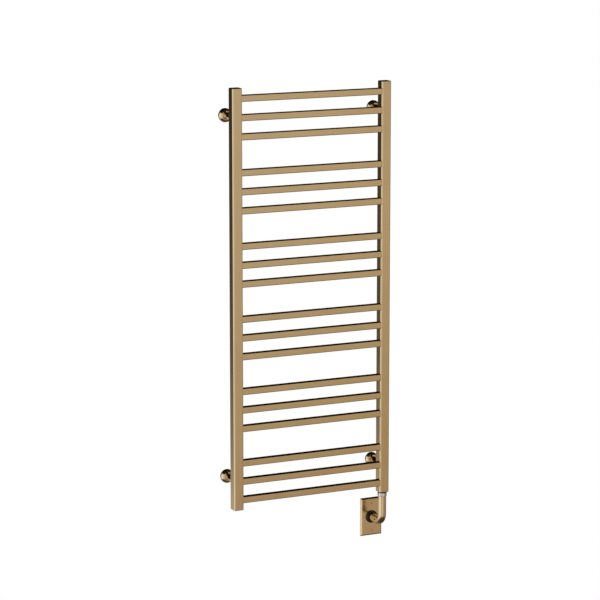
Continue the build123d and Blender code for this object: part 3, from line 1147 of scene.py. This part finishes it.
@dataclass(frozen=True)
class KeptNodes:
    """The nodes whose shape stays as it is, and the finish each one gets."""

    finishes: tuple[tuple[str, Finish], ...] = (
        ("upper_left_wall_base", CAST_ZINC),
        ("upper_right_wall_base", CAST_ZINC),
        ("lower_left_wall_base", CAST_ZINC),
        ("lower_right_wall_base", CAST_ZINC),
        ("set_screws", BLACK_STEEL),
        ("threaded_boss", BARE_STEEL),
        ("element_rod", BARE_STEEL),
        ("thermal_limiter", LIMITER_CASE),
        ("retaining_ring", BLACK_STEEL),
        ("swivel_bush", WHITE_PLASTIC),
        ("cable_clamp", BLACK_PLASTIC),
        ("supply_lead", LEAD_JACKET),
        ("live_core", CORE_BLACK),
        ("neutral_core", CORE_WHITE),
        ("earth_core", CORE_GREEN),
        ("vent_boss", BARE_STEEL),
    )

    def dress(self) -> None:
        """Puts each node's finish in its material slots."""
        for name, finish in self.finishes:
            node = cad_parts[name]
            for slot in node.material_slots:
                slot.material = finish.material()
            LOG.info("%s: kept, finish %s", name, finish.name)


@dataclass
class Studio:
    """Camera, surroundings and floor."""

    azimuth: float = -25.983
    elevation: float = 10.572
    distance: float = 7.4566
    target: Point = (-0.00624, -0.0152, -0.02256)
    lens: float = 156.64
    sensor: float = 36.0
    far_clip: float = 200.0
    floor_drop: float = 0.12
    floor_size: float = 60.0

    def camera(self) -> None:
        """Places the camera."""
        turn, rise = math.radians(self.azimuth), math.radians(self.elevation)
        back = Vector((math.sin(turn) * math.cos(rise), -math.cos(turn) * math.cos(rise), math.sin(rise)))
        bpy.ops.object.camera_add(
            location=Vector(self.target) + back * self.distance,
            rotation=(math.pi / 2 - rise, 0.0, turn),
        )
        camera = bpy.context.object
        camera.name = "studio_camera"
        camera.data.lens = self.lens
        camera.data.sensor_width = self.sensor
        camera.data.clip_end = self.far_clip
        bpy.context.scene.camera = camera

    def surroundings(self) -> None:
        """Makes the soft light all round: bright boxes, a dark wall behind, a white backdrop."""
        world = bpy.data.worlds.new("studio_world")
        bpy.context.scene.world = world
        world.use_nodes = True
        board = NodeBoard(world.node_tree)
        out = board.add("ShaderNodeOutputWorld")
        place = board.add("ShaderNodeTexCoord")
        parts = board.add("ShaderNodeSeparateXYZ")
        board.join(place.outputs["Generated"], parts.inputs["Vector"])
        x, y, z = parts.outputs
        ahead = board.math("MULTIPLY", y, -1.0)
        turn = board.math("ARCTAN2", x, ahead)
        around = board.math("MULTIPLY_ADD", turn, 1 / (2 * math.pi))
        around.node.inputs[2].default_value = 0.5
        height = board.math("MULTIPLY_ADD", z, 0.5)
        height.node.inputs[2].default_value = 0.5
        level = board.ramp(around, self.stops(self.sides(), 1 / 360))
        behind = board.ramp(around, self.stops(self.back_share(), 1 / 360))
        back = board.ramp(height, self.stops(self.back_levels(), 0.5))
        low = board.ramp(height, self.stops(self.low_tint(), 0.5))
        up = board.ramp(height, self.stops(self.up_share(), 0.5), smooth=True)
        down = board.ramp(height, self.stops(self.down_share(), 0.5), smooth=True)
        front = board.ramp(around, self.stops(self.front_share(), 1 / 360))
        level = self.blend(board, level, low, front, "MULTIPLY")
        level = self.blend(board, level, (0.012, 0.011, 0.010), up)
        level = self.blend(board, level, (0.06, 0.055, 0.05), down)
        level = self.blend(board, level, back, behind)
        room = board.add("ShaderNodeBackground")
        board.join(level, room.inputs["Color"])
        room.inputs["Strength"].default_value = 1.0
        backdrop = board.add("ShaderNodeBackground")
        backdrop.inputs["Color"].default_value = (1.0, 1.0, 1.0, 1.0)
        path = board.add("ShaderNodeLightPath")
        choose = board.add("ShaderNodeMixShader")
        board.join(path.outputs["Is Camera Ray"], choose.inputs["Fac"])
        board.join(room.outputs["Background"], choose.inputs[1])
        board.join(backdrop.outputs["Background"], choose.inputs[2])
        board.join(choose.outputs["Shader"], out.inputs["Surface"])

    @staticmethod
    def sides() -> tuple[tuple[float, Colour], ...]:
        """The light from each bearing: 0 is in front, -90 to the left.

        Returns:
            Bearings in degrees with their colours.
        """
        return (
            (-180, (0.30, 0.30, 0.30)),
            (-140, (0.45, 0.47, 0.50)),
            (-124, (0.88, 0.95, 1.12)),
            (-60, (0.88, 0.95, 1.12)),
            (-50, (0.50, 0.52, 0.55)),
            (-30, (0.52, 0.54, 0.57)),
            (-18, (0.74, 0.78, 0.86)),
            (-6, (0.70, 0.72, 0.78)),
            (10, (0.58, 0.57, 0.60)),
            (23, (0.56, 0.545, 0.555)),
            (26, (0.535, 0.51, 0.48)),
            (29, (0.50, 0.45, 0.38)),
            (60, (0.42, 0.39, 0.36)),
            (86, (0.36, 0.34, 0.32)),
            (104, (0.12, 0.11, 0.10)),
            (120, (0.07, 0.06, 0.05)),
            (136, (0.34, 0.33, 0.32)),
            (180, (0.34, 0.33, 0.32)),
        )

    @staticmethod
    def low_tint() -> tuple[tuple[float, Colour], ...]:
        """How the light is tinted at each height, from -1 straight down to 1 straight up.

        Returns:
            Heights with their tints.
        """
        return (
            (-1.0, (0.74, 0.66, 0.58)),
            (-0.27, (0.78, 0.70, 0.62)),
            (-0.21, (0.88, 0.86, 0.78)),
            (-0.17, (0.97, 0.97, 0.92)),
            (-0.13, (1.0, 1.0, 1.0)),
            (1.0, (1.0, 1.0, 1.0)),
        )

    @staticmethod
    def front_share() -> tuple[tuple[float, Colour], ...]:
        """How much of that tint shows at each bearing."""
        return ((-16, (0.0, 0.0, 0.0)), (8, (1.0, 1.0, 1.0)))

    @staticmethod
    def back_share() -> tuple[tuple[float, Colour], ...]:
        """How much of the dark wall behind shows at each bearing.

        Returns:
            Bearings in degrees with grey levels, white where all of it shows.
        """
        return (
            (-180, (1.0, 1.0, 1.0)),
            (-149, (1.0, 1.0, 1.0)),
            (-136, (0.0, 0.0, 0.0)),
            (130, (0.0, 0.0, 0.0)),
            (146, (1.0, 1.0, 1.0)),
            (180, (1.0, 1.0, 1.0)),
        )

    @staticmethod
    def back_levels() -> tuple[tuple[float, Colour], ...]:
        """The light from the wall behind at each height.

        Returns:
            Heights with their colours.
        """
        return (
            (-1.0, (0.06, 0.055, 0.05)),
            (-0.6, (0.30, 0.29, 0.28)),
            (-0.4, (0.52, 0.51, 0.49)),
            (-0.29, (0.56, 0.55, 0.53)),
            (-0.26, (0.52, 0.51, 0.49)),
            (-0.24, (0.25, 0.245, 0.24)),
            (-0.2, (0.10, 0.095, 0.09)),
            (-0.14, (0.06, 0.055, 0.05)),
            (-0.1, (0.035, 0.03, 0.025)),
            (-0.02, (0.02, 0.018, 0.015)),
            (0.03, (0.004, 0.003, 0.002)),
            (1.0, (0.004, 0.003, 0.002)),
        )

    @staticmethod
    def up_share() -> tuple[tuple[float, Colour], ...]:
        """How much of the dark ceiling shows at each height."""
        return ((0.28, (0.0, 0.0, 0.0)), (0.58, (1.0, 1.0, 1.0)))

    @staticmethod
    def down_share() -> tuple[tuple[float, Colour], ...]:
        """How much of the dark ground shows at each height."""
        return ((-0.80, (1.0, 1.0, 1.0)), (-0.38, (0.0, 0.0, 0.0)))

    @staticmethod
    def stops(
        levels: Sequence[tuple[float, Colour]], scale: float
    ) -> list[tuple[float, Colour]]:
        """Turns bearings or heights into ramp positions, with 0 in the middle.

        Args:
            levels: Bearings or heights with their colours.
            scale: One over their whole range.

        Returns:
            The stops.
        """
        return [(at * scale + 0.5, level) for at, level in levels]

    @staticmethod
    def blend(
        board: NodeBoard,
        first: bpy.types.NodeSocket,
        second: bpy.types.NodeSocket | Colour,
        share: bpy.types.NodeSocket | float,
        how: str = "MIX",
    ) -> bpy.types.NodeSocket:
        """Mixes two colours of the surroundings.

        Args:
            board: The world's nodes.
            first: The colour where the share is 0.
            second: The colour where the share is 1.
            share: How much of the second shows.
            how: The way they are mixed.

        Returns:
            The mixed colour.
        """
        mix = board.add("ShaderNodeMix", data_type="RGBA", blend_type=how)
        board.join(first, mix.inputs[6])
        if isinstance(share, bpy.types.NodeSocket):
            board.join(share, mix.inputs[0])
        else:
            mix.inputs[0].default_value = share
        if isinstance(second, bpy.types.NodeSocket):
            board.join(second, mix.inputs[7])
        else:
            mix.inputs[7].default_value = (*second, 1.0)
        return mix.outputs[2]

    def floor(self) -> None:
        """Lays a plain pale floor under the object, open from below and left out of reflections."""
        Bench.clear()
        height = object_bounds()[0].z - self.floor_drop
        bpy.ops.mesh.primitive_plane_add(size=self.floor_size, location=(0.0, 0.0, height))
        floor = Bench.settle(bpy.context.object, "studio_floor")
        paint = bpy.data.materials.new("floor_paint")
        paint.use_nodes = True
        board = NodeBoard(paint.node_tree)
        out = board.add("ShaderNodeOutputMaterial")
        glow = board.add("ShaderNodeEmission")
        glow.inputs["Strength"].default_value = 1.0
        clear = board.add("ShaderNodeBsdfTransparent")
        side = board.add("ShaderNodeNewGeometry")
        choose = board.add("ShaderNodeMixShader")
        board.join(side.outputs["Backfacing"], choose.inputs["Fac"])
        board.join(glow.outputs["Emission"], choose.inputs[1])
        board.join(clear.outputs["BSDF"], choose.inputs[2])
        board.join(choose.outputs["Shader"], out.inputs["Surface"])
        floor.data.materials.append(paint)
        floor.visible_glossy = False
        floor.visible_diffuse = False
        floor.visible_shadow = False
        floor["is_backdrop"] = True

    def dress(self) -> None:
        """Sets up the studio."""
        scene = bpy.context.scene
        scene.view_settings.view_transform = "Standard"
        scene.view_settings.look = "None"
        self.camera()
        self.surroundings()
        self.floor()
        LOG.info("studio: camera, surroundings and floor")


def main() -> None:
    """Builds every sub-assembly in order and reports each piece."""
    logging.basicConfig(level=logging.INFO, format="%(message)s")
    Bench.clear()
    Studio().dress()
    for side in Side:
        Post(side).dress()
    Rungs().dress()
    for corner in ("upper_left", "upper_right", "lower_left", "lower_right"):
        Standoff(corner).dress()
    ElementCollar().dress()
    Elbow().dress()
    WallPlate().dress()
    Vent().dress()
    KeptNodes().dress()


if __name__ == "__main__":
    main()
